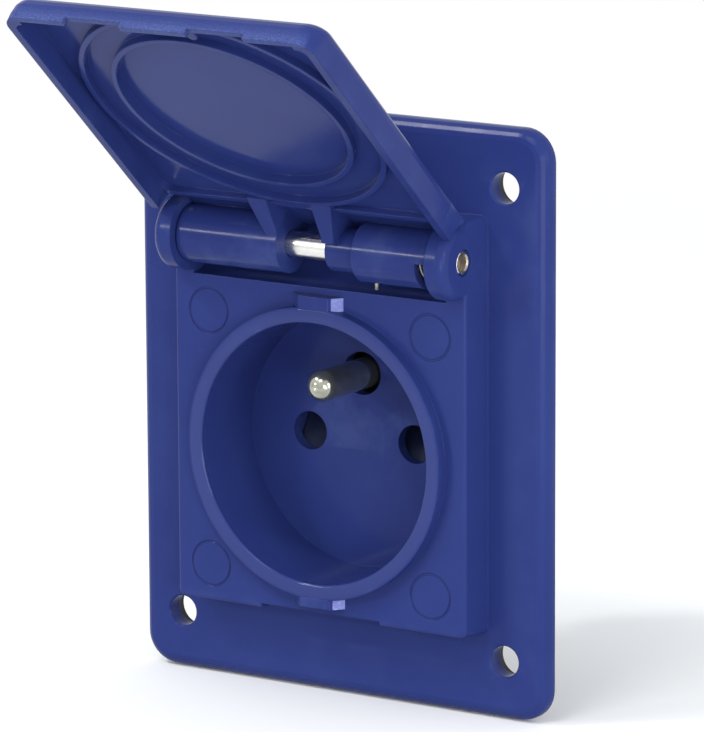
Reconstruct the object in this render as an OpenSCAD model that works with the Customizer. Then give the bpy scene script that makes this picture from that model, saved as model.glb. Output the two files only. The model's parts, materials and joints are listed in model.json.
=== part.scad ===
// Panel-mounted socket outlet with a sprung hinged lid.
// X runs to the right, Y runs back through the panel and Z runs up.
// The origin is the centre of the four mounting holes, in the plane of the panel.

/* [Flange] */
// Width of the flange
flange_w = 73; // [70:0.5:90]
// Height of the flange
flange_h = 90; // [86:0.5:110]
// Thickness of the flange
flange_t = 2.7; // [2.6:0.1:4.5]
// Corner radius of the flange
flange_corner_r = 5; // [4:0.5:8]
// Rounding of the flange's front edge
flange_edge_r = 1.9; // [0.5:0.1:2.2]
// Distance of a mounting hole from the flange's side edge
hole_edge_x = 7.25; // [6:0.25:8]
// Distance of a mounting hole from the flange's upper or lower edge
hole_edge_z = 9; // [7.5:0.25:10]
// Diameter of a mounting hole
mount_hole_d = 4.8; // [3.4:0.1:5]
// Diameter of a mounting hole at its softened front edge
mount_sink_d = 5.3; // [5.2:0.1:6.4]
// Thickness of the rubber gasket behind the flange
gasket_t = 2; // [1:0.1:2.5]
// How far the gasket's edge stays inside the flange's edge
gasket_inset = 2.5; // [2:0.1:3]

/* [Raised block] */
// Width of the raised block
block_w = 52; // [51.5:0.5:53]
// Height of the raised block
block_h = 63; // [62.4:0.2:65]
// How far the block's middle lies below the flange's middle
block_drop = 0.3; // [0:0.1:0.8]
// How far the block stands in front of the flange
block_depth = 5.7; // [5:0.1:7]
// Draft of the block's sides, at the flange
block_draft = 0.4; // [0:0.1:0.8]
// Wall thickness of the housing
wall = 2.2; // [1.8:0.1:2.4]
// Length of the skirt that passes through the panel
skirt_len = 9; // [6:0.5:12]
// Wall thickness of the skirt
skirt_wall = 1.6; // [1.2:0.1:2]
// Diameter of the round groove over each screw boss
disc_d = 7.3; // [6:0.1:7.6]

/* [Collar and cup] */
// Height of the collar's axis, from the middle of the flange
ring_z = -6.2; // [-6.6:0.1:-5.8]
// Outer diameter of the collar
collar_d = 45; // [44.6:0.1:45.6]
// How far the collar stands in front of the block
collar_proud = 1.9; // [1.2:0.1:2.2]
// Inner diameter of the cup
cup_d = 40.2; // [39.6:0.1:40.6]
// Wall thickness of the cup
cup_wall = 1; // [0.8:0.1:1.2]
// Depth of the recess, from the collar's front
recess_depth = 14; // [13:0.1:16]
// Thickness of the cup's floor
floor_t = 2; // [1.6:0.1:2.6]
// Distance between the two pin entries
pin_pitch = 19; // [18.6:0.1:19.4]
// Diameter of a pin entry
entry_d = 6; // [5.4:0.1:6.2]

/* [Contacts] */
// Diameter of the earth pin
earth_d = 4.8; // [4.4:0.1:5]
// Height of the earth pin above the collar's axis
earth_rise = 10; // [9.8:0.1:10.6]
// How far the earth pin's tip stays behind the collar's front
earth_setback = 0.9; // [0.5:0.1:3]
// Diameter of a contact's body
contact_d = 7.4; // [7:0.1:7.8]
// Bore of a contact, which springs on to the plug's pin
contact_bore = 4.8; // [4.6:0.1:5]
// Depth of the bore that takes the plug's pin
contact_depth = 10; // [8:0.5:14]
// Diameter of the wire holes
wire_d = 3.4; // [2.8:0.1:3.6]
// Diameter of the terminal screws
terminal_screw_d = 3.4; // [3:0.1:3.6]

/* [Shutter] */
// Depth of the shutter's chamber
chamber_depth = 5.8; // [5.4:0.1:7]
// Travel that uncovers the pin entries
shutter_travel = 6.6; // [6.4:0.1:6.8]
// Wire diameter of the shutter's spring
shutter_wire_d = 0.45; // [0.3:0.05:0.6]

/* [Lid] */
// How far the lid stands open, from closed
lid_open = 132; // [100:1:140]
// How far the lid stands past each side of the block
lid_over = 0.6; // [0.2:0.1:1]
// Length of the lid, from the hinge axis
lid_len = 56.8; // [56.6:0.1:57.4]
// How far the lid's outside stands past its barrels
lid_rise = 0.7; // [0.4:0.1:1]
// Thickness of the lid's top
lid_t = 1.6; // [1.4:0.1:1.8]
// Wall thickness of the lid's side rims
lid_wall = 1.4; // [1.2:0.1:1.8]
// Wall thickness of the rim at the lid's free edge
lid_front_wall = 1; // [0.8:0.1:1.1]
// Rounding of the lid's outer side edges
lid_edge_r = 1.5; // [0.8:0.1:1.8]
// Rounding of the lid's free edge
lid_free_r = 4; // [2:0.1:4.2]
// Gap between the closed lid's rim and the block
lid_gap = 0.35; // [0.3:0.05:0.6]
// Height of the round crown on the lid's outside
crown_h = 0.8; // [0.5:0.1:1.4]
// Outer radius of the lid's outer ring
outer_ring_r = 24.1; // [23.8:0.1:24.4]
// Outer radius of the lid's inner ring
inner_ring_r = 19; // [18.4:0.1:19.6]
// Wall thickness of both rings
lid_ring_wall = 0.9; // [0.8:0.1:1.1]

/* [Hinge] */
// Height of the hinge axis, from the middle of the flange
hinge_z = 25.5; // [25.3:0.1:25.8]
// How far the hinge axis stands in front of the flange
hinge_out = 6.15; // [6:0.05:6.4]
// Radius of the two ears
ear_r = 5.8; // [5.4:0.1:5.9]
// Thickness of an ear
ear_t = 3.4; // [3:0.1:3.8]
// Radius of the trough behind the barrels
trough_r = 6.4; // [6.4:0.1:6.6]
// Radius of the lid's barrels
barrel_r = 4.5; // [4.4:0.05:4.6]
// Diameter of the hinge pin
hinge_pin_d = 4; // [3.6:0.1:4]
// Half of the gap between the two barrels
barrel_gap = 4; // [2.6:0.1:4.4]
// Wire diameter of the lid's spring
lid_wire_d = 0.7; // [0.5:0.05:0.7]

/* [Hidden] */
$fn = 72;
eps = 0.01;
seat = 0.3;            // gap between pieces that move past each other
snug = 0.1;            // gap round a piece that is held still
running = 0.05;        // radial gap of the hinge pin in the lid's bore
press = 0.02;          // radial gap of a pin in a hole that grips it

flange_back = -gasket_t;
flange_front = flange_back - flange_t;
block_front = flange_front - block_depth;
block_corner_r = 1.2;
block_edge_r = 0.5;
collar_front = block_front - collar_proud;
hole_pitch_x = flange_w - 2 * hole_edge_x;
hole_pitch_z = flange_h - 2 * hole_edge_z;
block_bottom = -block_h / 2 - block_drop;
notch_half = 10.7;     // half the width of the shallow notch under the block
notch_depth = 0.7;
key_len = 1.6;         // key pads above and below the collar
key_front = 2.3;
key_back = 4.5;

hinge_y = flange_front - hinge_out;
ear_in = block_w / 2 - ear_t;
ear_round = 1.5;
hinge_pin_r = hinge_pin_d / 2;

cavity_w = block_w - 2 * wall;
cavity_bottom = block_bottom + wall;
cavity_top = hinge_z - trough_r - 1.9;
cavity_h = cavity_top - cavity_bottom;
cavity_mid = (cavity_top + cavity_bottom) / 2;
cavity_r = 3;
boss_pitch = 39.6;     // distance between screw bosses, both ways
boss_d = 6.8;
boss_back = flange_front + 2.2;
groove_w = 0.35;       // round groove over each screw boss
groove_depth = 0.15;

cup_r = cup_d / 2;
cup_out = cup_r + cup_wall;
cup_front = collar_front + 0.5;
floor_y = collar_front + recess_depth;
floor_back = floor_y + floor_t;
lug_t = 2;
lug_margin = 0.6;
lug_w = cavity_w - 2 * lug_margin;
lug_h = min(cavity_top - ring_z, ring_z - cavity_bottom) * 2 - 2 * lug_margin;
lug_r = 3.3;
cup_shoulder = cup_out + 2.1;
seal_t = 1.4;
seal_front = block_front + wall;
seal_back = seal_front + seal_t;

carrier_front = floor_back + chamber_depth;
carrier_t = 2;
carrier_back = carrier_front + carrier_t;
chamber_r = cup_r - 0.5;
web_t = 1.5;            // metal between the pin's bore and the wire's bore
wire_len = 6.5;
contact_front = carrier_back;
contact_back = contact_front + contact_depth + web_t + wire_len;
tube_wall = 1.2;
tube_r = contact_d / 2 + snug + tube_wall;
carrier_rear = contact_back + 0.4;
terminal_y = contact_back - wire_len / 2 - 0.9;
earth_z = ring_z + earth_rise;
earth_hole_d = earth_d + 1.9;
earth_root_d = earth_d + 0.4;
root_back = 4.3;       // how far behind the cup's floor the earth pin grows thicker
cover_t = 2;
cover_boss_x = 9.8;
cover_boss_rise = 11.5;
cover_boss_r = 2.9;
cover_screw_d = 2.4;
cover_screw_len = 8;
cover_head_d = 4.6;
carrier_screw_d = 2.9;
carrier_head_d = 5.4;
head_t = 1.8;
way_d = 6.2;           // ways in for the terminal screws

shutter_top = entry_d / 2 + 0.3;
shutter_bottom = shutter_top - shutter_travel - 3.7;
peg_len = 2.4;         // peg under the shutter that centres its spring
shutter_half = 13;
shutter_t = chamber_depth - 2 * seat;
shutter_spring_r = 1.9;
shutter_spring_end = -chamber_r + 0.3;

lid_w = block_w + 2 * lid_over;
lid_out = -barrel_r;                       // outer face of the lid at its barrels, from the hinge axis
lid_top = lid_out - lid_rise;              // outer face of the lid
lid_floor = lid_top + lid_t;
lid_rim = hinge_out - block_depth - lid_gap;   // edge of the closed lid's rim
lid_start = ear_r + 0.5;
lid_ring_s = hinge_z - ring_z;
ring_edge = -2.3;
dish_floor = lid_floor - 0.3;
lid_half = ear_in - seat;
lid_corner_r = 3;
relief_floor = -2.4;                       // below this the free edge's rim is thicker
low_front_wall = lid_front_wall + 0.8;
edge_notch_x = 10.6;                       // two notches in the free edge's rim
edge_notch_w = 9.8;
edge_notch_depth = 0.8;
post_x = 5.7;                              // two posts inside the free edge, beside the key pad
post_d = 1.8;
ridge_t = 1;
gap_shift = -0.25;                         // how far the gap between the barrels lies to the right
gusset_half = 11;
gusset_lean = 2;                           // both webs lean to the right towards the barrels
gusset_ring_w = 3.7;
gusset_end_w = 2.1;
barrel_step = 9;
barrel_small_r = 3.4;
coil_r = hinge_pin_r + 0.37 + lid_wire_d / 2;
spring_room = coil_r + lid_wire_d / 2 + 0.28;
coil_start = barrel_step + 2.15;
coil_end = lid_half - 1.1;
coil_pitch = lid_wire_d + 0.18;
leg_bend = 0.5;
spring_tip = barrel_r + 0.9;
end_notch = 2.1;

// ---------- helpers ----------

// Extrudes a shape drawn in X and Z from y0 back to y1
module slab(y0, y1) {
    translate([0, y1, 0]) rotate([90, 0, 0]) linear_extrude(y1 - y0) children();
}

// Turns a profile of radius and Y about the axis at x, z
module turned(x, z) {
    translate([x, 0, z]) rotate([-90, 0, 0]) rotate_extrude() children();
}

// Round bar along Y
module bar_y(x, z, d, y0, y1) {
    translate([x, y0, z]) rotate([-90, 0, 0]) cylinder(d = d, h = y1 - y0);
}

// Round bar along X, on the local axis
module bar_x(r, x0, x1) {
    translate([x0, 0, 0]) rotate([0, 90, 0]) cylinder(r = r, h = x1 - x0);
}

// Rectangle with round corners
module rounded(w, h, r) {
    square([w - 2 * r, h], center = true);
    square([w, h - 2 * r], center = true);
    for (sx = [-1, 1], sz = [-1, 1])
        translate([sx * (w / 2 - r), sz * (h / 2 - r)]) circle(r);
}

// Plate with round corners whose edge at y0 is rounded, and whose sides widen by draft towards y1
module soft_plate(w, h, r, y0, y1, edge, draft = 0) {
    hull() {
        for (a = [0 : 22.5 : 90])
            slab(y0 + edge * (1 - cos(90 - a)), y0 + edge * (1 - cos(90 - a)) + eps)
                rounded(w - 2 * edge * (1 - cos(a)), h - 2 * edge * (1 - cos(a)),
                        r - edge * (1 - cos(a)), $fn = 40);
        slab(y1 - eps, y1) rounded(w + 2 * draft, h + 2 * draft, r, $fn = 40);
    }
}

// The four corners of a rectangle in X and Z
function corners(px, pz) = [for (sx = [-1, 1], sz = [-1, 1]) [sx * px / 2, sz * pz / 2]];

// Closed tube along points that each carry a section direction, with X as the other direction
module wire(path, dirs, d, sides = 6) {
    n = len(path);
    points = [for (i = [0 : n - 1], k = [0 : sides - 1])
        path[i] + d / 2 * (cos(360 * k / sides) * dirs[i][0] + sin(360 * k / sides) * dirs[i][1])];
    faces = concat(
        [[for (k = [sides - 1 : -1 : 0]) k]],
        [for (i = [0 : n - 2], k = [0 : sides - 1])
            [i * sides + k, i * sides + (k + 1) % sides,
             (i + 1) * sides + (k + 1) % sides, (i + 1) * sides + k]],
        [[for (k = [0 : sides - 1]) (n - 1) * sides + k]]);
    polyhedron(points, faces, convexity = 4);
}

// ---------- housing ----------

module boss_places() {
    for (c = corners(boss_pitch, boss_pitch)) translate([c[0], 0, ring_z + c[1]]) children();
}

module key_pads() {
    for (s = [-1, 1])
        translate([0, 0, ring_z + s * (collar_d / 2 + key_len / 2 - 0.25)])
            linear_extrude(key_len, center = true)
                polygon([[-key_back, block_front + eps], [-key_front, collar_front],
                         [key_front, collar_front], [key_back, block_front + eps]]);
}

module ear(side) {
    turn = side > 0 ? 90 : -90;
    translate([side * ear_in, hinge_y, hinge_z]) rotate([0, turn, 0]) rotate_extrude() {
        square([ear_r, ear_t - ear_round]);
        square([ear_r - ear_round, ear_t]);
        intersection() {
            translate([ear_r - ear_round, ear_t - ear_round]) circle(ear_round);
            square([ear_r, ear_t]);
        }
    }
}

module disc_groove() {
    slab(block_front - 1, block_front + groove_depth) difference() {
        circle(d = disc_d);
        circle(d = disc_d - 2 * groove_w);
    }
}

module housing() {
    color([0.18, 0.2, 0.58]) difference() {
        union() {
            soft_plate(flange_w, flange_h, flange_corner_r, flange_front, flange_back, flange_edge_r);
            translate([0, 0, -block_drop])
                soft_plate(block_w, block_h, block_corner_r, block_front, flange_front + eps,
                           block_edge_r, block_draft);
            for (side = [-1, 1]) ear(side);
            key_pads();
            bar_y(0, ring_z, collar_d, collar_front, block_front + 1);
            translate([0, 0, cavity_mid])
                slab(flange_back - 1, skirt_len)
                    rounded(cavity_w + 2 * skirt_wall, cavity_h + 2 * skirt_wall, cavity_r + skirt_wall);
        }
        // room for the cup and its carrier, open to the back
        difference() {
            translate([0, 0, cavity_mid])
                slab(block_front + wall, skirt_len + 1) rounded(cavity_w, cavity_h, cavity_r);
            boss_places() bar_y(0, 0, boss_d, block_front, boss_back);
        }
        bar_y(0, ring_z, 2 * (cup_out + snug), collar_front - 1, block_front + wall + 1);
        // trough for the barrels
        translate([0, hinge_y, hinge_z]) bar_x(trough_r, -ear_in, ear_in);
        translate([0, hinge_y, hinge_z]) bar_x(hinge_pin_r + press, -block_w, block_w);
        // holes
        for (c = corners(hole_pitch_x, hole_pitch_z)) {
            bar_y(c[0], c[1], mount_hole_d, flange_front - 1, flange_back + 1);
            translate([c[0], flange_front - eps, c[1]]) rotate([-90, 0, 0])
                cylinder(d1 = mount_sink_d, d2 = mount_hole_d, h = (mount_sink_d - mount_hole_d) / 2);
        }
        boss_places() bar_y(0, 0, carrier_screw_d - 0.4, seal_front + 1, boss_back + 1);
        boss_places() disc_groove();
        // shallow notch for a fingernail under the closed lid
        translate([0, 0, block_bottom])
            slab(block_front - 1, block_front + 2) square([2 * notch_half, 2 * notch_depth], center = true);
    }
}

module flange_gasket() {
    color([0.1, 0.1, 0.1]) difference() {
        slab(flange_back, 0) rounded(flange_w - 2 * gasket_inset, flange_h - 2 * gasket_inset,
                                     flange_corner_r - gasket_inset);
        translate([0, 0, cavity_mid])
            slab(flange_back - 1, 1)
                rounded(cavity_w + 2 * skirt_wall + 2 * snug, cavity_h + 2 * skirt_wall + 2 * snug,
                        cavity_r + skirt_wall + snug);
        for (c = corners(hole_pitch_x, hole_pitch_z))
            bar_y(c[0], c[1], mount_hole_d, flange_back - 1, 1);
    }
}

// ---------- cup, carrier and contacts ----------

module entry_places() {
    for (s = [-1, 1]) translate([s * pin_pitch / 2, 0, ring_z]) children();
}

module socket_cup() {
    rear = carrier_front;
    color([0.17, 0.19, 0.55]) difference() {
        union() {
            turned(0, ring_z) polygon([
                [0, cup_front], [cup_out - 0.3, cup_front], [cup_out, cup_front + 0.3],
                [cup_out, seal_back], [cup_shoulder, seal_back], [cup_shoulder, boss_back + lug_t],
                [cup_out, boss_back + lug_t], [cup_out, rear], [0, rear]]);
            translate([0, 0, ring_z]) slab(boss_back, boss_back + lug_t) rounded(lug_w, lug_h, lug_r);
        }
        turned(0, ring_z) polygon([[0, cup_front - 1], [cup_r + 0.3, cup_front - 1],
            [cup_r + 0.3, cup_front], [cup_r, cup_front + 0.3], [cup_r, floor_y], [0, floor_y]]);
        bar_y(0, ring_z, 2 * chamber_r, floor_back, rear + 1);
        entry_places() bar_y(0, 0, entry_d, floor_y - 1, floor_back + 1);
        bar_y(0, earth_z, earth_hole_d, floor_y - 1, floor_back + 1);
        boss_places() bar_y(0, 0, carrier_screw_d + 0.3, boss_back - 1, boss_back + lug_t + 1);
    }
    // rails beside the shutter
    color([0.17, 0.19, 0.55]) for (s = [-1, 1])
        translate([s * (shutter_half + 0.4 + 0.6), 0, ring_z - 4.5])
            slab(floor_back - eps, rear - 1) square([1.2, 16], center = true);
}

module cup_seal() {
    color([0.12, 0.12, 0.12]) turned(0, ring_z)
        translate([cup_out + snug, seal_front]) square([cup_shoulder - cup_out - snug, seal_t]);
}

module shutter() {
    front = floor_back + seat;
    color([0.16, 0.18, 0.4]) translate([0, 0, ring_z]) {
        rotate([90, 0, 90]) translate([0, 0, -shutter_half]) linear_extrude(2 * shutter_half)
            polygon([[front, shutter_bottom], [front, -entry_d / 2],
                     [front + shutter_t - 1.2, shutter_top], [front + shutter_t, shutter_top],
                     [front + shutter_t, shutter_bottom]]);
        translate([0, front + shutter_t / 2, shutter_bottom - peg_len])
            cylinder(d = 2 * shutter_spring_r - shutter_wire_d - 0.6, h = peg_len + eps);
    }
}

module shutter_spring() {
    turns = 8;
    steps = 12;
    low = shutter_spring_end + shutter_wire_d / 2;
    high = shutter_bottom - shutter_wire_d / 2 - 0.1;
    total = turns * steps;
    path = [for (i = [0 : total]) [shutter_spring_r * cos(360 * i / steps),
                                   shutter_spring_r * sin(360 * i / steps),
                                   low + (high - low) * i / total]];
    dirs = [for (i = [0 : total]) [[cos(360 * i / steps), sin(360 * i / steps), 0], [0, 0, 1]]];
    color("silver") translate([0, floor_back + seat + shutter_t / 2, ring_z])
        wire(path, dirs, shutter_wire_d);
}

module terminal_places() {
    for (p = [[pin_pitch / 2, ring_z], [-pin_pitch / 2, ring_z], [0, earth_z]])
        translate([p[0], 0, p[1]]) children();
}

module cover_screw_places() {
    for (s = [-1, 1]) translate([s * cover_boss_x, 0, ring_z + cover_boss_rise]) children();
}

// Outline of the terminal tubes, their ribs and the cover's bosses
module carrier_outline() {
    for (s = [-1, 1]) {
        translate([s * pin_pitch / 2, ring_z]) circle(tube_r);
        translate([s * cover_boss_x, ring_z + cover_boss_rise]) circle(cover_boss_r);
        translate([s * (cover_boss_x + pin_pitch / 2) / 2, ring_z + cover_boss_rise / 2])
            square([1.6, cover_boss_rise], center = true);
        translate([s * cover_boss_x / 2, ring_z + cover_boss_rise])
            square([cover_boss_x, 1.6], center = true);
    }
    translate([0, earth_z]) circle(tube_r);
    translate([0, ring_z]) square([pin_pitch, 1.6], center = true);
    translate([0, ring_z + earth_rise / 2]) square([1.6, earth_rise], center = true);
}

module contact_carrier() {
    color([0.2, 0.2, 0.22]) difference() {
        union() {
            translate([0, 0, ring_z]) slab(carrier_front, carrier_back) rounded(lug_w, lug_h, lug_r);
            slab(carrier_back - eps, carrier_rear) carrier_outline();
            boss_places() bar_y(0, 0, 6.6, boss_back + lug_t, carrier_front + eps);
        }
        terminal_places() bar_y(0, 0, contact_d + 2 * snug, carrier_back, carrier_rear + 1);
        entry_places() bar_y(0, 0, entry_d, carrier_front - 1, carrier_back + 1);
        bar_y(0, earth_z, earth_root_d + 2 * press, carrier_front - 1, carrier_back + 1);
        boss_places() bar_y(0, 0, carrier_screw_d + 0.3, boss_back, carrier_back + 1);
        cover_screw_places() bar_y(0, 0, cover_screw_d - 0.4, carrier_rear - 8, carrier_rear + 1);
        // ways in for the terminal screws
        screw_way(1);
        screw_way(-1);
        translate([0, terminal_y, earth_z]) cylinder(d = way_d, h = tube_r + 1);
    }
}

module screw_way(side) {
    translate([side * pin_pitch / 2, terminal_y, ring_z]) rotate([0, side * 90, 0])
        cylinder(d = way_d, h = tube_r + 1);
}

// Slotted sleeve in front, wire bore with a cross screw behind
module contact(side) {
    difference() {
        bar_y(0, 0, contact_d, contact_front + press, contact_back);
        bar_y(0, 0, contact_bore, contact_front - 1, contact_front + contact_depth);
        bar_y(0, 0, wire_d, contact_back - wire_len, contact_back + 1);
        for (turn = [0, 90]) rotate([0, turn, 0])
            translate([-contact_d, contact_front - 1, -0.4])
                cube([2 * contact_d, contact_depth - 1, 0.8]);
        // groove that holds the spring ring
        rotate([-90, 0, 0]) translate([0, 0, contact_front + 2])
            difference() {
                cylinder(d = contact_d + 1, h = 1.4);
                translate([0, 0, -1]) cylinder(d = contact_d - 1, h = 4);
            }
        translate([0, terminal_y, 0]) rotate([0, side * 90, 0])
            cylinder(d = terminal_screw_d + 2 * press, h = contact_d);
    }
}

module live_contact() {
    color([0.8, 0.65, 0.35]) translate([pin_pitch / 2, 0, ring_z]) contact(1);
}

module neutral_contact() {
    color([0.8, 0.65, 0.35]) translate([-pin_pitch / 2, 0, ring_z]) contact(-1);
}

module contact_rings() {
    color("silver") for (s = [-1, 1])
        turned(s * pin_pitch / 2, ring_z)
            translate([contact_d / 2 - 0.5 + press, contact_front + 2.1]) square([0.48, 1.2]);
}

module earth_pin() {
    tip = collar_front + earth_setback;
    r = earth_d / 2;
    shank = contact_d / 2;
    color([0.82, 0.82, 0.8]) translate([0, 0, earth_z]) difference() {
        rotate([-90, 0, 0]) rotate_extrude() {
            intersection() {
                translate([0, tip + r]) circle(r);
                translate([0, tip]) square([r, r + eps]);
            }
            translate([0, tip + r]) square([r, floor_y + root_back - tip - r + eps]);
            translate([0, floor_y + root_back])
                square([earth_root_d / 2, carrier_back + press - floor_y - root_back + eps]);
            translate([0, carrier_back + press]) square([shank, contact_back - carrier_back - press]);
        }
        bar_y(0, 0, wire_d, contact_back - wire_len, contact_back + 1);
        translate([0, terminal_y, 0]) cylinder(d = terminal_screw_d + 2 * press, h = contact_d);
    }
}

// Slotted cheese-head screw whose shank points along -Z from the head's seat
module terminal_screw() {
    tip = wire_d / 2 + snug;
    reach = contact_d / 2 - tip + 0.4;
    difference() {
        union() {
            translate([0, 0, tip]) cylinder(d = terminal_screw_d, h = reach + eps);
            translate([0, 0, tip + reach]) cylinder(d = 5.4, h = head_t);
        }
        translate([-3, -0.4, tip + reach + head_t - 0.9]) cube([6, 0.8, 1]);
    }
}

module live_screw() {
    color("silver") translate([pin_pitch / 2, terminal_y, ring_z]) rotate([0, 90, 0]) terminal_screw();
}

module neutral_screw() {
    color("silver") translate([-pin_pitch / 2, terminal_y, ring_z]) rotate([0, -90, 0]) terminal_screw();
}

module earth_screw() {
    color("silver") translate([0, terminal_y, earth_z]) terminal_screw();
}

// Pan-head screw along Y, with its head's seat at y
module fixing_screw(d, seat_y, reach, head_d) {
    difference() {
        union() {
            bar_y(0, 0, d, seat_y - reach, seat_y + eps);
            turned(0, 0) polygon([[0, seat_y], [head_d / 2, seat_y], [head_d / 2, seat_y + head_t * 0.5],
                                  [head_d / 2 - 0.7, seat_y + head_t], [0, seat_y + head_t]]);
        }
        for (turn = [0, 90]) rotate([0, turn, 0])
            translate([-head_d * 0.28, seat_y + head_t - 1, -0.35]) cube([head_d * 0.56, 2, 0.7]);
    }
}

module carrier_screws() {
    color("silver") boss_places()
        fixing_screw(carrier_screw_d - 0.44, carrier_back, carrier_back - seal_front - 1.5,
                     carrier_head_d);
}

module rear_cover() {
    color([0.22, 0.22, 0.24]) difference() {
        slab(carrier_rear, carrier_rear + cover_t) hull() carrier_outline();
        terminal_places() bar_y(0, 0, wire_d + 1, carrier_rear - 1, carrier_rear + cover_t + 1);
        cover_screw_places() bar_y(0, 0, cover_screw_d + 0.3, carrier_rear - 1, carrier_rear + cover_t + 1);
    }
}

module cover_screws() {
    color("silver") cover_screw_places()
        fixing_screw(cover_screw_d - 0.44, carrier_rear + cover_t, cover_screw_len, cover_head_d);
}

// ---------- hinge and lid ----------

module hinge_pin() {
    half = block_w / 2 - 0.15;
    color([0.78, 0.78, 0.76]) translate([-half, hinge_y, hinge_z]) rotate([0, 90, 0]) difference() {
        rotate_extrude() polygon([[0, 0], [hinge_pin_r - 0.35, 0], [hinge_pin_r, 0.35],
            [hinge_pin_r, 2 * half - 0.35], [hinge_pin_r - 0.35, 2 * half], [0, 2 * half]]);
        translate([0, 0, 2 * half - 0.2]) cylinder(d = hinge_pin_d - 1.1, h = 1);
        translate([0, 0, -0.8]) cylinder(d = hinge_pin_d - 1.1, h = 1);
    }
}

// Shape in X and Z of the closed lid's outline, smaller by side at the sides, by free at the free
// edge and by back at the hinge
module lid_outline(side, free, back = 0) {
    length = lid_len - free - lid_start - back;
    translate([0, -lid_start - back - length / 2])
        rounded(lid_w - 2 * side, length, max(lid_corner_r - side, 1.2));
}

// How far an edge rounded by r stands in, at depth d
function round_in(r, d) = d < r ? r - sqrt(r * r - (r - d) * (r - d)) : 0;

module lid_tray() {
    difference() {
        union() {
            hull() for (d = [0, 0.15, 0.45, 0.9, 1.6, 2.5, lid_free_r, lid_rim - lid_top - eps])
                slab(lid_top + d, lid_top + d + eps)
                    lid_outline(round_in(lid_edge_r, d), round_in(lid_free_r, d), $fn = 40);
            translate([0, 0, -lid_ring_s]) rotate([-90, 0, 0]) rotate_extrude($fn = 120)
                polygon([[0, lid_top - crown_h], [inner_ring_r - 1, lid_top - crown_h],
                         [inner_ring_r + 0.6, lid_top + eps], [0, lid_top + eps]]);
        }
        // inside of the tray
        slab(lid_floor, lid_rim + 1) lid_outline(lid_wall, low_front_wall, ridge_t);
        translate([0, 0, -lid_len + low_front_wall])
            slab(relief_floor, lid_rim + 1)
                square([lid_w - 2 * lid_corner_r, 2 * (low_front_wall - lid_front_wall)], center = true);
        // the hinge side of the rim is only a low ridge
        translate([0, 0, -lid_start - ridge_t])
            slab(ring_edge - 0.2, lid_rim + 1)
                square([lid_w - 2 * lid_wall, 2 * (ridge_t + 1)], center = true);
        for (s = [-1, 1])
            translate([s * edge_notch_x, 0, -lid_len])
                slab(lid_rim - edge_notch_depth, lid_rim + 1)
                    square([edge_notch_w, 2 * low_front_wall + 1], center = true);
    }
    // posts inside the free edge
    for (s = [-1, 1]) translate([s * post_x, 0, -lid_len + lid_front_wall]) {
        slab(lid_floor - eps, lid_rim - edge_notch_depth) translate([0, 0.9]) circle(d = post_d, $fn = 32);
        slab(lid_floor - eps, lid_rim - edge_notch_depth) translate([0, 0.4]) square([post_d, 1], center = true);
    }
}

module lid_ring(r, y) {
    translate([0, 0, -lid_ring_s]) slab(y - eps, ring_edge) difference() {
        circle(r, $fn = 120);
        circle(r - lid_ring_wall, $fn = 120);
    }
}

// Leaning web that ties the outer ring to a barrel's inner end, wider at the ring
module lid_gusset(side) {
    s = lid_ring_s - outer_ring_r;
    end = gap_shift + side * barrel_gap;
    intersection() {
        rotate([90, 0, 90]) linear_extrude(2 * gusset_half, center = true)
            polygon([[lid_floor - 0.2, -s - 0.6], [ring_edge, -s - 0.5], [barrel_r * 0.37, -barrel_r * 0.92],
                     [0, 0], [lid_out + 1, -1]]);
        slab(lid_floor - 1, barrel_r)
            polygon([[end, 0], [end, -barrel_r], [end - gusset_lean, -s - 1],
                     [end - gusset_lean + side * gusset_ring_w, -s - 1],
                     [end + side * gusset_end_w, -barrel_r], [end + side * gusset_end_w, 0]]);
    }
}

module barrels() {
    bar_x(barrel_r, -lid_half, gap_shift - barrel_gap);
    bar_x(barrel_small_r, gap_shift + barrel_gap, barrel_step + 1);
    bar_x(barrel_r, barrel_step, lid_half);
}

module closed_lid() {
    difference() {
        union() {
            difference() {
                union() {
                    lid_tray();
                    translate([0, 0, -lid_start / 2 - 0.5])
                        slab(lid_out, lid_floor) square([2 * lid_half, lid_start + 1], center = true);
                }
                // round dish under the crown
                bar_y(0, -lid_ring_s, 2 * (inner_ring_r - lid_ring_wall), dish_floor, lid_rim + 1);
            }
            intersection() {
                lid_ring(outer_ring_r, lid_floor);
                slab(lid_floor - 1, lid_rim) lid_outline(lid_wall - 0.1, lid_front_wall - 0.1);
            }
            lid_ring(inner_ring_r, lid_floor);
            barrels();
            for (side = [-1, 1]) lid_gusset(side);
        }
        bar_x(hinge_pin_r + running, -lid_half - 1, lid_half + 1);
        bar_x(spring_room, coil_start - 1, lid_half + 1);
        rotate([lid_open, 0, 0]) {
            // way out for the spring's fixed leg, open at the barrel's end
            translate([lid_half - end_notch, 0, 0])
                intersection() {
                    bar_x(barrel_r + 1, 0, end_notch + 1);
                    rotate([90, 0, 90]) linear_extrude(end_notch + 1)
                        polygon([[0, 0], [-9, 0], [-9, -9], [9, -9], [9, -3.6]]);
                }
            // hole that holds the spring's moving leg
            translate([coil_start, -leg_bend, -barrel_r - 1]) cylinder(d = lid_wire_d + 0.3, h = barrel_r);
        }
    }
}

module lid() {
    color([0.19, 0.21, 0.6]) translate([0, hinge_y, hinge_z]) rotate([-lid_open, 0, 0]) closed_lid();
}

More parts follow.
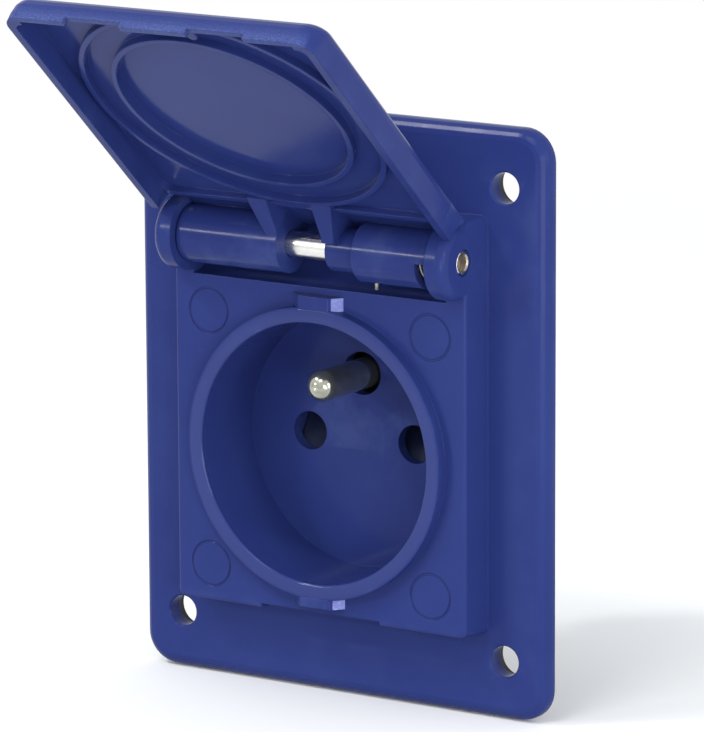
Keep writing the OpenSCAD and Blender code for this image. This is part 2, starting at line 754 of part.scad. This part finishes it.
// Torsion spring: a radial leg held by the lid, the coil, and a straight leg on the trough
module lid_spring() {
    steps = 12;
    turns = floor((coil_end - coil_start) / coil_pitch);
    total = turns * steps;
    leg_y = sqrt(pow(trough_r - 0.4, 2) - pow(coil_r, 2));
    coil = [for (i = [0 : total]) [coil_start + (coil_end - coil_start) * i / total,
                                   coil_r * sin(360 * i / steps), -coil_r * cos(360 * i / steps)]];
    coil_dirs = [for (i = [0 : total]) [[0, sin(360 * i / steps), -cos(360 * i / steps)], [1, 0, 0]]];
    leg = [[coil_start, -leg_bend, -spring_tip], [coil_start, -leg_bend, -coil_r - leg_bend],
           [coil_start, -0.3 * leg_bend, -coil_r - 0.3 * leg_bend]];
    leg_dirs = [for (a = [90, 80, 45]) [[0, sin(a), -cos(a)], [1, 0, 0]]];
    color([0.75, 0.73, 0.65]) translate([0, hinge_y, hinge_z])
        wire(concat(leg, coil, [[coil_end, leg_y, -coil_r]]),
             concat(leg_dirs, coil_dirs, [coil_dirs[total]]), lid_wire_d);
}

housing();
flange_gasket();
hinge_pin();
lid();
lid_spring();
socket_cup();
cup_seal();
shutter();
shutter_spring();
contact_carrier();
carrier_screws();
live_contact();
neutral_contact();
contact_rings();
earth_pin();
live_screw();
neutral_screw();
earth_screw();
rear_cover();
cover_screws();
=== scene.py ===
"""Looks of the panel socket outlet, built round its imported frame.

Lengths are in metres. Those of the small pieces are written in millimetres, and MM turns them into
metres. The lid's hinge, the boxes of the hinge pin and of the shutter's spring, and the spacing of
the mounting holes are read from the frame.
"""
import json
import math

import bpy
from mathutils import Matrix, Vector, noise


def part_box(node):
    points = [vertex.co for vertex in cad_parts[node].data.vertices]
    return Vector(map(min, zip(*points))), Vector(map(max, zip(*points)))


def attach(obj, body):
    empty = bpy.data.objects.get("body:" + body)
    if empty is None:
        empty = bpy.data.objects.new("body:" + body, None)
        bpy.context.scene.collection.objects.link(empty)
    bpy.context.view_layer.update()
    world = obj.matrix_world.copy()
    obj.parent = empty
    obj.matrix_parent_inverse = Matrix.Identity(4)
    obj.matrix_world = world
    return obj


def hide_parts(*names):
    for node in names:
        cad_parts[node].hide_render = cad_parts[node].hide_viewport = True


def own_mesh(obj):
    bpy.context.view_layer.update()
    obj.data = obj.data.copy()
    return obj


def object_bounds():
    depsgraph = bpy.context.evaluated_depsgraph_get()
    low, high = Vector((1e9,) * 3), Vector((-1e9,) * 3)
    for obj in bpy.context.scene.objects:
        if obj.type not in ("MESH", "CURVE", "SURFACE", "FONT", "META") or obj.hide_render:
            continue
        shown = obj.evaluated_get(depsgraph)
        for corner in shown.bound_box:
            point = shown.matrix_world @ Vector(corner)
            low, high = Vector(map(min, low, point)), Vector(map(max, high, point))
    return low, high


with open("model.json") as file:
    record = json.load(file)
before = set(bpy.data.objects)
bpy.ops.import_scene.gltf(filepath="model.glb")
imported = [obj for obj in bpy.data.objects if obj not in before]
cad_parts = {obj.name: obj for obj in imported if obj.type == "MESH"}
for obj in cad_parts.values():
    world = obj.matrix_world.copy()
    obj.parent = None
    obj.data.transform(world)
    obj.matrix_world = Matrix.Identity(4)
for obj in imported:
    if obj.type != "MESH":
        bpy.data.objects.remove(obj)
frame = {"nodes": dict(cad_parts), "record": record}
CAD_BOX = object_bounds()
NODES = frame["nodes"]
RECORD = frame["record"]
JOINTS = {joint["name"]: joint for joint in RECORD["behaviour"]["joints"]}
MOUNTS = {mount["name"]: mount for mount in RECORD["mounts"]}
MM = 0.001

scene = bpy.context.scene
scene.view_settings.view_transform = "Standard"


def add_object(name, data):
    obj = bpy.data.objects.new(name, data)
    scene.collection.objects.link(obj)
    return obj


# ---------------------------------------------------------------- camera

AZIMUTH = math.radians(32.998)
ELEVATION = math.radians(11.899)
ROLL = math.radians(-0.294)
TARGET = Vector((2.331, -4.7, 6.340)) * MM
DISTANCE = 840.3 * MM
SENSOR_MM = 36
LENS_MM = 273.9


def add_camera():
    """The photo's line of sight: back points from the target to the camera."""
    back = Vector((math.sin(AZIMUTH) * math.cos(ELEVATION), -math.cos(AZIMUTH) * math.cos(ELEVATION),
                   math.sin(ELEVATION)))
    level = Vector((math.cos(AZIMUTH), math.sin(AZIMUTH), 0))
    side = level * math.cos(ROLL) + back.cross(level) * math.sin(ROLL)
    turn = Matrix((side, back.cross(side), back)).transposed().to_4x4()
    camera = add_object("camera", bpy.data.cameras.new("camera"))
    camera.matrix_world = Matrix.Translation(TARGET + back * DISTANCE) @ turn
    camera.data.sensor_width = SENSOR_MM
    camera.data.lens = LENS_MM
    camera.data.clip_start = 0.01
    camera.data.clip_end = 20
    scene.camera = camera


add_camera()

# ---------------------------------------------------------------- lamps and world

LAMPS = (  # name, place, width, height, watts; each faces the origin
    ("key", (0.02, -0.62, 0.74), 0.34, 0.34, 2.1),
    ("card_right", (0.86, -0.27, 0.16), 0.14, 0.5, 2.6),
    ("card_left", (-0.476, -0.453, 0.719), 0.12, 0.12, 2.4),
    ("strip", (-0.48, -0.71, 0.27), 0.13, 0.05, 1.3),
    ("fill_right", (0.60, -0.68, 0.10), 0.3, 0.3, 1.3),
    ("low_card", (0.235, -0.21, -0.036), 0.08, 0.08, 0.20),
)
SKY_COLOUR = (0.93, 0.96, 1, 1)
SKY_STRENGTH = 0.88
WHITE = (1, 1, 1, 1)


def add_lamp(name, place, width, height, watts):
    data = bpy.data.lights.new(name, "AREA")
    data.shape = "RECTANGLE"
    data.size = width
    data.size_y = height
    data.energy = watts
    obj = add_object(name, data)
    obj.location = place
    obj.rotation_mode = "QUATERNION"
    obj.rotation_quaternion = (-Vector(place)).to_track_quat("-Z", "Y")


for lamp in LAMPS:
    add_lamp(*lamp)


class Nodes:
    """A node tree whose nodes are added and linked by short calls."""

    def __init__(self, tree, out):
        self.tree = tree
        self.tree.nodes.clear()
        self.out = self.node(out)

    def node(self, kind, **values):
        n = self.tree.nodes.new(kind)
        for key, value in values.items():
            setattr(n, key, value)
        return n

    def put(self, socket, value):
        if isinstance(value, bpy.types.NodeSocket):
            self.tree.links.new(value, socket)
        else:
            socket.default_value = value

    def math(self, operation, a, b):
        n = self.node("ShaderNodeMath", operation=operation)
        self.put(n.inputs[0], a)
        self.put(n.inputs[1], b)
        return n.outputs[0]

    def choose(self, fac, shader_0, shader_1):
        n = self.node("ShaderNodeMixShader")
        self.put(n.inputs[0], fac)
        self.put(n.inputs[1], shader_0)
        self.put(n.inputs[2], shader_1)
        return n.outputs[0]

    def seen(self):
        """1 for the rays that show a background: to the camera, mirrored or through something clear."""
        path = self.node("ShaderNodeLightPath").outputs
        either = self.math("MAXIMUM", path["Is Camera Ray"], path["Is Transmission Ray"])
        return self.math("MAXIMUM", either, path["Is Glossy Ray"])


def add_world():
    """White where it is seen, and a slightly cooler, weaker sky where it lights the object."""
    world = bpy.data.worlds.new("world")
    scene.world = world
    world.use_nodes = True
    w = Nodes(world.node_tree, "ShaderNodeOutputWorld")
    white = w.node("ShaderNodeBackground")
    white.inputs["Color"].default_value = WHITE
    sky = w.node("ShaderNodeBackground")
    sky.inputs["Color"].default_value = SKY_COLOUR
    sky.inputs["Strength"].default_value = SKY_STRENGTH
    w.put(w.out.inputs[0], w.choose(w.seen(), sky.outputs[0], white.outputs[0]))


add_world()

# ---------------------------------------------------------------- materials


class Mat(Nodes):
    """A material, with the textures that the looks below are mixed from."""

    def __init__(self, name):
        self.mat = bpy.data.materials.new(name)
        self.mat.use_nodes = True
        super().__init__(self.mat.node_tree, "ShaderNodeOutputMaterial")
        self.coords = self.node("ShaderNodeTexCoord").outputs["Object"]

    def noise(self, scale, detail, rough, stretch=None, distortion=0.0):
        vector = self.coords
        if stretch:
            m = self.node("ShaderNodeMapping")
            self.put(m.inputs["Vector"], vector)
            m.inputs["Scale"].default_value = stretch
            vector = m.outputs[0]
        n = self.node("ShaderNodeTexNoise")
        self.put(n.inputs["Vector"], vector)
        n.inputs["Scale"].default_value = scale
        n.inputs["Detail"].default_value = detail
        n.inputs["Roughness"].default_value = rough
        n.inputs["Distortion"].default_value = distortion
        return n.outputs["Fac"]

    def spread(self, value, lo, hi, to_lo, to_hi):
        n = self.node("ShaderNodeMapRange")
        for socket, v in zip(n.inputs, (value, lo, hi, to_lo, to_hi)):
            self.put(socket, v)
        return n.outputs[0]

    def mix(self, fac, a, b):
        n = self.node("ShaderNodeMix", data_type="RGBA")
        self.put(n.inputs[0], fac)
        self.put(n.inputs[6], a)
        self.put(n.inputs[7], b)
        return n.outputs[2]

    def bump(self, height, strength, distance, normal):
        n = self.node("ShaderNodeBump")
        n.inputs["Strength"].default_value = strength
        n.inputs["Distance"].default_value = distance
        self.put(n.inputs["Height"], height)
        self.put(n.inputs["Normal"], normal)
        return n.outputs[0]

    def round_edges(self, radius_mm):
        n = self.node("ShaderNodeBevel", samples=6)
        n.inputs["Radius"].default_value = radius_mm * MM
        return n.outputs[0]

    def edges(self, lo, hi):
        """1 on sharp outer edges, 0 on flat ground."""
        geometry = self.node("ShaderNodeNewGeometry")
        return self.spread(geometry.outputs["Pointiness"], lo, hi, 0.0, 1.0)

    def beyond(self, direction, lo, hi):
        """Rises from 0 to 1 as a point goes from lo to hi along direction."""
        n = self.node("ShaderNodeVectorMath", operation="DOT_PRODUCT")
        self.put(n.inputs[0], self.coords)
        n.inputs[1].default_value = direction
        return self.spread(n.outputs["Value"], lo, hi, 0.0, 1.0)

    def finish(self, **values):
        shader = self.node("ShaderNodeBsdfPrincipled")
        for key, value in values.items():
            self.put(shader.inputs[key.replace("_", " ")], value)
        self.tree.links.new(shader.outputs[0], self.out.inputs[0])
        return self.mat


def tint(colour, red=1.0, green=1.0, blue=1.0, lift=0.0):
    """The colour with each channel scaled and then raised, as a node's four numbers."""
    r, g, b = colour
    return (r * red + lift, g * green + lift, b * blue + lift, 1.0)


def plastic(name, colour, rough, shine, grain=1.0, edge=0.28, etch_and_glint=None):
    """Moulded plastic: cloudy pigment, satin grain, soft edges rubbed a little paler.

    edge is the radius of the edges in millimetres. The last argument gives two slabs, each a direction
    and
    two limits: where both hold, the surface is etched rougher, and pale grains are painted in as glints.
    """
    m = Mat(name)
    cloud = m.spread(m.noise(38, 3, 0.55), 0.35, 0.65, 0.0, 1.0)
    base = m.mix(cloud, tint(colour, 0.93, 0.93, 0.95), tint(colour, 1.07, 1.07, 1.04))
    speck = m.spread(m.noise(900, 2, 0.5), 0.62, 0.8, 0.0, 0.35)
    base = m.mix(speck, base, tint(colour, 1.35, 1.35, 1.2))
    worn = m.math("MULTIPLY", m.edges(0.53, 0.62), m.spread(m.noise(160, 4, 0.6), 0.45, 0.7, 0.0, 0.35))
    base = m.mix(worn, base, tint(colour, 2.2, 2.2, 1.5, lift=0.02))
    handled = m.noise(70, 4, 0.6, distortion=0.6)
    roughness = m.math("ADD", m.spread(handled, 0.3, 0.7, rough - 0.035, rough + 0.045),
                       m.math("MULTIPLY", worn, 0.15))
    if etch_and_glint:
        patch = m.math("MULTIPLY", m.beyond(*etch_and_glint[0]), m.beyond(*etch_and_glint[1]))
        # Painted glints: pale grains painted into the colour of the etched patch, whose real roughness is
        # raised below.
        painted_sparkle = m.spread(m.noise(4200, 3, 0.65), 0.40, 0.66, 0.1, 0.55)
        base = m.mix(m.math("MULTIPLY", patch, painted_sparkle), base, tint(colour, 5.0, 4.2, 2.2))
        roughness = m.math("ADD", roughness, m.math("MULTIPLY", patch, 0.3))
    normal = m.bump(m.noise(26, 2, 0.4), 0.35, 0.00012 * grain, m.round_edges(edge))
    normal = m.bump(m.noise(2600, 2, 0.5), 0.22, 0.00003 * grain, normal)
    return m.finish(Base_Color=base, Roughness=roughness, Normal=normal, IOR=1.5,
                    Specular_IOR_Level=shine)


def painted_glint_frosted(name, colour):
    """Etched plastic with painted glints: pale grains in a darker blue stand for its sparkle in the
    light.
    """
    m = Mat(name)
    grain = m.noise(2300, 3, 0.7)
    # Painted highlight: pale grains, pale patches and paler edges stand for the light that the facet
    # reflects.
    base = m.mix(m.spread(grain, 0.48, 0.66, 0.0, 1.0), tint(colour), tint(colour, 3.4, 3.2, 2.1))
    patch = m.spread(m.noise(700, 2, 0.5), 0.4, 0.7, 0.0, 0.5)
    base = m.mix(patch, base, tint(colour, 1.5, 1.5, 1.4))
    base = m.mix(m.math("MULTIPLY", m.edges(0.53, 0.62), 0.4), base, tint(colour, 3, 3, 2))
    normal = m.bump(grain, 0.5, 0.00006, m.round_edges(0.08))
    return m.finish(Base_Color=base, Roughness=m.spread(grain, 0.3, 0.7, 0.45, 0.7), Normal=normal)


def metal(name, colour, rough, brush=(1, 1, 1), fine=1400, dark=0.6, metallic=1.0, grit=0.18):
    """Plated or bare metal: streaks drawn out by brush, slight stains, bright edges."""
    m = Mat(name)
    stain = m.spread(m.noise(240, 4, 0.6, distortion=0.8), 0.45, 0.75, 0.0, 1.0)
    base = m.mix(stain, tint(colour), tint(colour, dark, dark, dark * 0.94))
    base = m.mix(m.math("MULTIPLY", m.edges(0.52, 0.6), 0.5), base, tint(colour, 1.25, 1.25, 1.25))
    streak = m.noise(fine, 3, 0.6, stretch=brush)
    roughness = m.spread(streak, 0.3, 0.7, rough - 0.06, rough + 0.1)
    normal = m.bump(streak, grit, 0.00002, m.round_edges(0.08))
    return m.finish(Base_Color=base, Metallic=metallic, Roughness=roughness, Normal=normal)


def rubber(name, colour):
    """Dull rubber with a greyish bloom."""
    m = Mat(name)
    bloom = m.noise(120, 4, 0.65)
    base = m.mix(m.spread(bloom, 0.4, 0.7, 0.0, 1.0), tint(colour), tint(colour, 1.9, 1.9, 1.85))
    base = m.mix(m.math("MULTIPLY", m.edges(0.52, 0.62), 0.4), base, tint(colour, 3.2, 3.2, 3.1))
    normal = m.bump(m.noise(1800, 3, 0.6), 0.4, 0.00004, m.round_edges(0.25))
    return m.finish(Base_Color=base, Roughness=m.spread(bloom, 0.3, 0.7, 0.62, 0.82), Normal=normal)


# The lid stands open at rest: along points from its hinge to its free edge, inward to its inside.
LID_ALONG = Vector((0, -0.743, 0.669))
LID_INWARD = Vector((0, -0.669, -0.743))


def lid_free_edge():
    """Where the lid's free edge is etched and painted with glints: its last millimetre, and the half
    nearer its rim.
    """
    points = [v.co for v in NODES["lid"].data.vertices]
    end = max(p.dot(LID_ALONG) for p in points)
    rim = max(p.dot(LID_INWARD) for p in points if p.dot(LID_ALONG) > end - 2 * MM)
    return ((tuple(LID_ALONG), end - 1.1 * MM, end - 0.6 * MM),
            (tuple(LID_INWARD), rim - 3.0 * MM, rim - 0.4 * MM))


BLUE = (0.0222, 0.0362, 0.165)
LOOKS = {
    "blue_plastic": plastic("moulded_blue", BLUE, 0.20, 0.08),
    "lid_plastic": plastic("moulded_blue_lid", BLUE, 0.15, 0.08, grain=0.6, etch_and_glint=lid_free_edge()),
    "cup_plastic": plastic("moulded_blue_cup", BLUE, 0.17, 0.07, grain=0.5, edge=0.14),
    "lip": plastic("moulded_blue_lip", BLUE, 0.10, 0.24, grain=0.4),
    # The key pads' facets get a paler blue, painted in as the reflection of the bright ground at the
    # right.
    "painted_glint_frosted": painted_glint_frosted("painted_glint_frosted_blue", (0.085, 0.10, 0.34)),
    # The shutter: dark blue plastic, darkened further as painted shade for the inside of the pin entries.
    "shutter_plastic": plastic("moulded_shutter_painted_shade", (0.012, 0.017, 0.052), 0.42, 0.24, edge=0.12),
    "carrier_plastic": plastic("moulded_charcoal", (0.028, 0.028, 0.032), 0.48, 0.24, edge=0.2),
    "seal_rubber": rubber("rubber_black", (0.014, 0.014, 0.015)),
    "nickel_steel": metal("nickel_on_steel", (0.70, 0.69, 0.66), 0.24, brush=(0.06, 1, 1)),
    "nickel_brass": metal("nickel_on_brass", (0.46, 0.47, 0.40), 0.15, fine=500, metallic=0.9, grit=0.02),
    # Dull spring steel, its colour darkened partly as painted shade for the spring seen in the barrel's
    # notch.
    "spring_steel": metal("spring_wire", (0.34, 0.34, 0.29), 0.34),
    "screw_steel": metal("zinc_on_steel", (0.60, 0.60, 0.58), 0.30, brush=(1, 0.4, 1)),
    "contact_brass": metal("contact_brass", (0.78, 0.58, 0.27), 0.27, brush=(1, 0.1, 1)),
    "raw_brass": metal("sheared_brass", (0.42, 0.32, 0.18), 0.34, fine=1700, dark=0.2, grit=8.0),
}


def dress_nodes():
    """Gives each CAD node the look of its material slot."""
    for part in RECORD["subparts"]:
        obj = NODES[part["node"]]
        look = LOOKS[part["material_slot"]]
        if obj.material_slots:
            for slot in obj.material_slots:
                slot.material = look
        else:
            obj.data.materials.append(look)


dress_nodes()

# ---------------------------------------------------------------- small pieces

LID_HINGE = Vector(JOINTS["lid_hinge"]["pos_m"]) / MM
LID_TURN = math.radians(JOINTS["lid_hinge"]["range_deg"][0])  # about +X, from closed to the open rest
ACROSS, BACK, UP = Vector((1, 0, 0)), Vector((0, 1, 0)), Vector((0, 0, 1))
RECESS_Z = -6.2  # millimetres, the middle of the recess


def mesh_piece(name, points, faces, look, body, flat=False):
    """A piece that rides on a body; its points are in millimetres."""
    mesh = bpy.data.meshes.new(name)
    mesh.from_pydata([p * MM for p in points], [], faces)
    mesh.update()
    if flat:
        mesh.shade_flat()
    else:
        mesh.shade_smooth()
    mesh.materials.append(look)
    obj = add_object(name, mesh)
    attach(obj, body)
    return obj


def bands(rows, count, flip=False, closed=False, first=0):
    """Faces between neighbouring rows of points, each a loop of count points from first on."""
    faces = []
    for i in range(rows if closed else rows - 1):
        low = first + i * count
        high = first + (i + 1) % rows * count
        for k in range(count):
            n = (k + 1) % count
            if flip:
                faces.append((low + k, high + k, high + n, low + n))
            else:
                faces.append((low + k, low + n, high + n, high + k))
    return faces


def pin_core(side):
    """The rough brass core that shows in a sheared end of the hinge pin; side is -1 or 1."""
    sink, dome, rough, tip = 0.19, 0.12, 0.07, 0.1
    rings, spokes, radius = 9, 40, 1.34
    lo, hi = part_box("hinge_pin")
    centre = (lo + hi) / 2 / MM
    centre.x = (hi.x if side > 0 else lo.x) / MM - side * sink
    points = [centre + ACROSS * side * tip]
    for i in range(1, rings + 1):
        share = i / rings
        for k in range(spokes):
            t = 2 * math.pi * k / spokes
            place = Vector((math.cos(t) * i * 0.55 + side * 7, math.sin(t) * i * 0.55, i * 0.2))
            lift = dome * (1 - share ** 2)
            if i < rings:
                lift += rough * noise.noise(place)
            spoke = Vector((0, math.cos(t), math.sin(t)))
            points.append(centre + ACROSS * side * max(lift, 0) + spoke * radius * share)
    faces = [(0, 1 + k, 1 + (k + 1) % spokes) for k in range(spokes)]
    faces += bands(rings, spokes, flip=True, first=1)
    if side < 0:
        faces = [face[::-1] for face in faces]
    mesh_piece(f"pin_core_{'right' if side > 0 else 'left'}", points, faces, LOOKS["raw_brass"],
               "socket")


def collar_lip():
    """The rounded lip that closes the joint between the collar and the cup."""
    front, inner, outer, edge, spokes = -12.32, 20.12, 22.46, 0.4, 180
    quarter = [math.radians(15 * i) for i in range(7)]
    profile = [(outer, front + 0.9), (inner, front + 1.3)]  # (radius, y)
    profile += [(inner + edge * (1 - math.cos(a)), front + edge * (1 - math.sin(a))) for a in quarter]
    profile += [(outer - edge * (1 - math.sin(a)), front + edge * (1 - math.cos(a))) for a in quarter]
    points = []
    for i in range(spokes):
        t = 2 * math.pi * i / spokes
        points += [Vector((r * math.cos(t), y, RECESS_Z + r * math.sin(t))) for r, y in profile]
    mesh_piece("collar_lip", points, bands(spokes, len(profile), closed=True), LOOKS["lip"],
               "socket")


def prism(name, outline, z0, z1, look):
    """Upright prism on the housing; outline holds (x, y), and all of it is in millimetres."""
    n = len(outline)
    points = [Vector((x, y, z)) for z in (z0, z1) for x, y in outline]
    faces = [tuple(range(n))[::-1], tuple(range(n, 2 * n))] + bands(2, n)
    mesh_piece(name, points, faces, look, "socket", flat=True)


def key_pads():
    """The pads above and below the collar, each with a rough facet on its right slope painted pale as a
    reflection.
    """
    face, block = -12.31, -10.38  # y of the pads and of the block
    pad = ((-4.5, block), (-2.3, face), (2.95, face), (4.55, block))
    facet = ((2.93, face - 0.015), (4.56, block - 0.02), (4.5, block), (2.93, face + 0.05))
    for part, outline, look, heights in (
            ("pad", pad, "blue_plastic", {"top": (15.9, 18.05), "low": (-30.02, -28.5)}),
            ("facet", facet, "painted_glint_frosted", {"top": (15.9, 17.95), "low": (-29.98, -28.45)})):
        for place, (z0, z1) in heights.items():
            prism(f"key_{part}_{place}", outline, z0, z1, LOOKS[look])


def swept(path, sections, radius, sides):
    """Closed round wire along path; sections holds two directions across it for each point."""
    points = []
    for centre, (a, b) in zip(path, sections):
        for k in range(sides):
            t = 2 * math.pi * k / sides
            points.append(centre + radius * (math.cos(t) * a + math.sin(t) * b))
    ends = [tuple(range(sides)), tuple(len(points) - 1 - k for k in range(sides))]
    return points, bands(len(path), sides, flip=True) + ends


def coil(start, end, a, b, radius, turns, steps):
    """Path and sections of a coil from start to end, which starts on a's side and turns to b's."""
    path, sections = [], []
    total = turns * steps
    for i in range(total + 1):
        t = 2 * math.pi * i / steps
        out = a * math.cos(t) + b * math.sin(t)
        path.append(start + (end - start) * (i / total) + out * radius)
        sections.append((out, (end - start).normalized()))
    return path, sections


def lid_spring():
    """The lid's torsion spring in round wire: the leg in the barrel, the coil, the straight leg."""
    wire, radius, turns, steps = 0.35, 2.72, 11, 40
    start, end = 11.15, 21.2  # the coil's ends along the hinge
    leg_tip, leg_reach = -5.4, 5.34
    bend = ((-0.5, leg_tip, 90), (-0.5, -radius - 0.5, 90),  # y, z and the lean in degrees
            (-0.38, -radius - 0.32, 70), (-0.15, -radius - 0.12, 45))
    path, sections = [], []
    for y, z, lean in bend:
        a = math.radians(lean)
        path.append(Vector((start, y, z)))
        sections.append((Vector((0, math.sin(a), -math.cos(a))), ACROSS))
    coil_path, coil_sections = coil(ACROSS * start, ACROSS * end, -UP, BACK, radius, turns, steps)
    path += coil_path + [Vector((end, leg_reach, -radius))]
    sections += coil_sections + coil_sections[-1:]
    points, faces = swept([LID_HINGE + p for p in path], sections, wire, 12)
    obj = mesh_piece("lid_spring_round", points, faces, LOOKS["spring_steel"], "lid")
    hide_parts("lid_spring")


def shutter_spring():
    """The shutter's compression spring in round wire."""
    wire, turns, steps = 0.225, 8, 32
    lo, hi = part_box("shutter_spring")
    foot = Vector(((lo.x + hi.x) / 2, (lo.y + hi.y) / 2, lo.z))
    height = hi.z - lo.z
    path, sections = coil(foot / MM + UP * wire, foot / MM + UP * (height / MM - wire), ACROSS, BACK,
                          (hi.x - lo.x) / 2 / MM - wire, turns, steps)
    points, faces = swept(path, sections, wire, 10)
    obj = mesh_piece("shutter_spring_round", points, faces, LOOKS["spring_steel"], "socket")
    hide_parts("shutter_spring")
    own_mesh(obj)


def lid_cheek(side):
    """End of one of the lid's side walls, hollowed round the ear; side is -1 or 1.

    It is drawn on the closed lid, y from its outside to its rim and s down from the hinge.
    """
    top, rim = -5.2, 0.09
    ear_room, wall_end = 6.25, 9.6
    inner, outer, edge, levels = 25.24, 26.61, 1.5, 28
    turn = Matrix.Rotation(LID_TURN, 3, "X")
    points = []
    for i in range(levels + 1):
        y = top + (rim - top) * (i / levels) ** 1.3
        depth = min(y - top, edge)
        outside = outer - edge + math.sqrt(edge ** 2 - (edge - depth) ** 2)
        near = math.sqrt(ear_room ** 2 - y ** 2)
        for x, s in ((inner, wall_end), (inner, near), (outside, near), (outside, wall_end)):
            points.append(LID_HINGE + turn @ Vector((side * x, y, -s)))
    last = 4 * levels
    faces = bands(levels + 1, 4) + [(3, 2, 1, 0), (last, last + 1, last + 2, last + 3)]
    if side < 0:
        faces = [face[::-1] for face in faces]
    mesh_piece(f"lid_cheek_{'right' if side > 0 else 'left'}", points, faces, LOOKS["lid_plastic"],
               "lid", flat=True)


def rounded(curve, x, z, width, height, corner):
    """Adds a rounded rectangle, or a circle, to a flat curve; all of it is in millimetres."""
    spokes = 10
    points = []
    for sx, sz, first in ((1, 1, 0), (-1, 1, 90), (-1, -1, 180), (1, -1, 270)):
        for i in range(spokes + 1):
            a = math.radians(first + 90 * i / spokes)
            points.append((x + sx * (width / 2 - corner) + corner * math.cos(a),
                           z + sz * (height / 2 - corner) + corner * math.sin(a)))
    spline = curve.splines.new("POLY")
    spline.points.add(len(points) - 1)
    for spot, (px, pz) in zip(spline.points, points):
        spot.co = (px * MM, pz * MM, 0, 1)
    spline.use_cyclic_u = True


def gasket():
    """The flange's gasket, whose screw holes are a little wider than the flange's own."""
    width, height, corner, half_thick = 68, 85, 2.5, 1.0
    window_w, window_h, window_corner, hole_d = 51.0, 50.2, 4.7, 6.2
    holes = MOUNTS["panel_holes"]["dims"]
    curve = bpy.data.curves.new("gasket_outline", "CURVE")
    curve.dimensions = "2D"
    curve.fill_mode = "BOTH"
    curve.extrude = half_thick * MM
    rounded(curve, 0, 0, width, height, corner)
    rounded(curve, 0, RECESS_Z, window_w, window_h, window_corner)
    for sx in (-1, 1):
        for sz in (-1, 1):
            rounded(curve, sx * holes["spacing_x_mm"] / 2, sz * holes["spacing_y_mm"] / 2,
                    hole_d, hole_d, hole_d / 2)
    shape = add_object("gasket_shape", curve)
    mesh = bpy.data.meshes.new_from_object(shape.evaluated_get(bpy.context.evaluated_depsgraph_get()))
    bpy.data.objects.remove(shape)
    points = [Vector((v.co.x, v.co.z, v.co.y)) / MM - BACK * half_thick for v in mesh.vertices]
    faces = [tuple(p.vertices)[::-1] for p in mesh.polygons]
    obj = mesh_piece("gasket_wide_holes", points, faces, LOOKS["seal_rubber"], "socket",
                     flat=True)
    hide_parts("flange_gasket")


for side_sign in (-1, 1):
    pin_core(side_sign)
collar_lip()
key_pads()
lid_spring()
shutter_spring()
for side_sign in (-1, 1):
    lid_cheek(side_sign)
gasket()

# ---------------------------------------------------------------- floor


def floor():
    """Pale floor that keeps the object's shadow and fades into the white background."""
    half, drop = 6.0, 0.0002
    fade_from, fade_to = 0.22, 0.45
    z = CAD_BOX[0].z - drop
    mesh = bpy.data.meshes.new("floor")
    corners = [(sx * half, sy * half, z) for sx, sy in ((-1, -1), (1, -1), (1, 1), (-1, 1))]
    mesh.from_pydata(corners, [], [(0, 1, 2, 3)])
    obj = add_object("floor", mesh)
    m = Mat("floor_white")
    lit = m.node("ShaderNodeBsdfDiffuse")
    lit.inputs["Color"].default_value = tint((0.9, 0.9, 0.9))
    veil = m.node("ShaderNodeEmission")
    veil.inputs["Color"].default_value = WHITE
    veil.inputs["Strength"].default_value = 0.02
    both = m.node("ShaderNodeAddShader")
    m.put(both.inputs[0], lit.outputs[0])
    m.put(both.inputs[1], veil.outputs[0])
    white = m.node("ShaderNodeEmission")
    white.inputs["Color"].default_value = WHITE
    white.inputs["Strength"].default_value = 1.0
    far = m.node("ShaderNodeVectorMath", operation="LENGTH")
    m.put(far.inputs[0], m.coords)
    fade = m.spread(far.outputs["Value"], fade_from, fade_to, 0.0, 1.0)
    shown = m.choose(fade, both.outputs[0], white.outputs[0])
    bounce = m.node("ShaderNodeBsdfDiffuse")
    bounce.inputs["Color"].default_value = tint((0.65, 0.65, 0.65))
    m.put(m.out.inputs[0], m.choose(m.seen(), bounce.outputs[0], shown))
    mesh.materials.append(m.mat)


floor()
